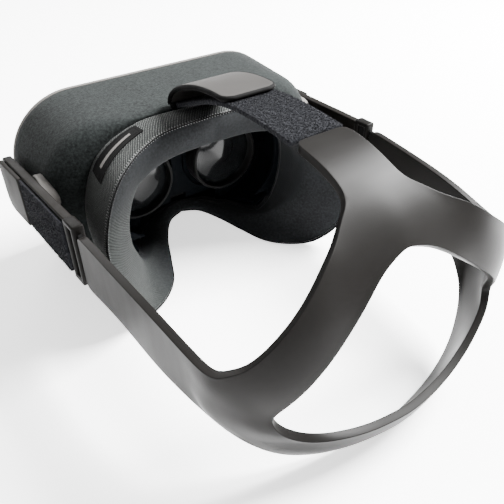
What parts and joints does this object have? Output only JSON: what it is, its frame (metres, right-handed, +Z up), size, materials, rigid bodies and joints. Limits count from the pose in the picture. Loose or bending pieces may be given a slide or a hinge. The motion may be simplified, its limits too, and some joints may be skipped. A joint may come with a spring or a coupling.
{
  "type": "vr headset",
  "caption": "Head-mounted display with a fabric-wrapped housing, knitted face cushion, sliding lens barrels, hinged side arms, top band and a moulded rubber rear cradle.",
  "frame": {"origin": "middle of the footprint's bounding box, at the table the headset rests on", "axes": "+X to the wearer's right, +Y the way the wearer looks, out of the front cover, +Z up"},
  "size_m": [0.2126, 0.2542, 0.1315],
  "materials": {
    "housing_fabric": "fine melange knit, matt",
    "front_panel": "satin black plastic",
    "lens_glass": "coated glass",
    "lamp_window": "small dark window",
    "port_metal": "bright plain metal",
    "inner_plastic": "matt blue-black plastic",
    "circuit_board": "solder mask",
    "battery_wrap": "wrapped pouch",
    "display_glass": "dark glossy panel",
    "cushion_knit": "foam under ribbed knit",
    "arm_plastic": "satin plastic with a soft edge",
    "loop_pile": "hook-and-loop pile",
    "tab_fabric": "smooth bonded webbing",
    "cradle_rubber": "satin moulded rubber"
  },
  "bodies": {
    "headset": {"housing_shell": "housing_fabric", "front_cover": "front_panel", "camera_upper_left": "lens_glass", "camera_upper_right": "lens_glass", "camera_lower_left": "lens_glass", "camera_lower_right": "lens_glass", "status_lamp": "lamp_window", "charging_port": "port_metal", "audio_jack_left": "inner_plastic", "audio_jack_right": "inner_plastic", "guide_rod_upper": "port_metal", "guide_rod_lower": "port_metal", "eye_cavity": "inner_plastic", "chassis": "inner_plastic", "main_board": "circuit_board", "battery": "battery_wrap", "cooling_fan": "inner_plastic", "wear_sensor": "lamp_window", "face_cushion": "cushion_knit", "cushion_frame": "inner_plastic", "pivot_boss_left": "port_metal", "pivot_boss_right": "port_metal", "band_bar": "front_panel"},
    "strap": {"arm_left": "arm_plastic", "arm_right": "arm_plastic", "strap_loop_left": "arm_plastic", "strap_loop_right": "arm_plastic", "side_pile_left": "loop_pile", "side_pile_right": "loop_pile", "side_tab_left": "tab_fabric", "side_tab_right": "tab_fabric", "rear_cradle": "cradle_rubber", "top_band": "loop_pile", "top_tab": "tab_fabric"},
    "optic_left": {"carriage_left": "inner_plastic", "lens_barrel_left": "inner_plastic", "lens_left": "lens_glass", "display_left": "display_glass", "spacing_slider": "inner_plastic"},
    "optic_right": {"carriage_right": "inner_plastic", "lens_barrel_right": "inner_plastic", "lens_right": "lens_glass", "display_right": "display_glass"},
    "power": {"power_button": "front_panel"},
    "volume": {"volume_rocker": "front_panel"}
  },
  "joints": [
    {"name": "strap_tilt", "type": "hinge", "parent": "headset", "child": "strap", "pos_m": [0, 0.07783, 0.06665], "axis": [1, 0, 0], "range_deg": [-12, 0]},
    {"name": "lens_left_slide", "type": "slide", "parent": "headset", "child": "optic_left", "axis": [-1, 0, 0], "range_m": [-0.003, 0.003]},
    {"name": "lens_right_slide", "type": "slide", "parent": "headset", "child": "optic_right", "axis": [1, 0, 0], "range_m": [-0.003, 0.003]},
    {"name": "power_press", "type": "slide", "parent": "headset", "child": "power", "axis": [-1, 0, 0], "range_m": [0, 0.0008], "stiffness_N_per_m": 400},
    {"name": "volume_rock", "type": "hinge", "parent": "headset", "child": "volume", "pos_m": [0.05, 0.11083, 0.00405], "axis": [0, 1, 0], "range_deg": [-3, 3], "stiffness_Nm_per_rad": 0.05}
  ],
  "couplings": [
    {"joint": "lens_right_slide", "follows": "lens_left_slide", "ratio": 1}
  ]
}
